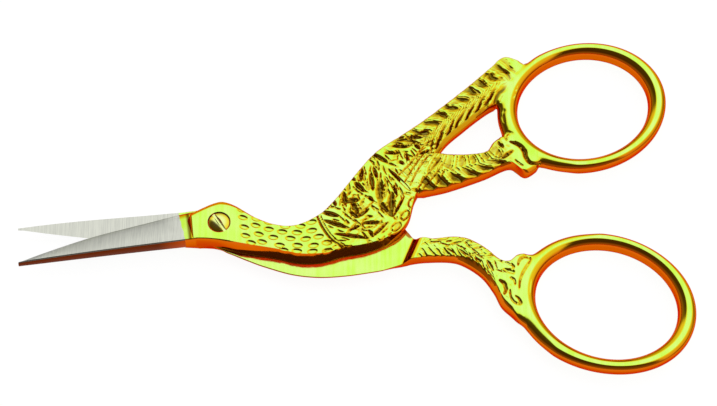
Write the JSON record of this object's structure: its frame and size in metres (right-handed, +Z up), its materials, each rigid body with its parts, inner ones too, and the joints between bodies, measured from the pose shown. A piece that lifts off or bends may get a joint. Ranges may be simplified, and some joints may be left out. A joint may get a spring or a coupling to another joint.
{
  "type": "embroidery scissors",
  "caption": "Stork-shaped embroidery scissors: short pointed blades as the beak, a slotted pivot screw as the eye, a feathered body with wing and leg, and oval finger rings.",
  "frame": {"origin": "the pivot axis where it meets the flat underside of the rear half", "axes": "+X from the blades towards the finger rings, +Z up along the pivot axis, towards the screw's slotted head"},
  "size_m": [0.0895, 0.0491, 0.0046],
  "materials": {
    "gold_plate": "polished gold plate on forged steel",
    "screw_brass": "turned and polished"
  },
  "bodies": {
    "rear": {"rear_half": "gold_plate", "pivot_screw": "screw_brass"},
    "front": {"front_half": "gold_plate"}
  },
  "joints": [
    {"name": "pivot", "type": "hinge", "parent": "rear", "child": "front", "pos_m": [0, 0, 0], "axis": [0, 0, 1], "range_deg": [-10.3, 50]}
  ]
}
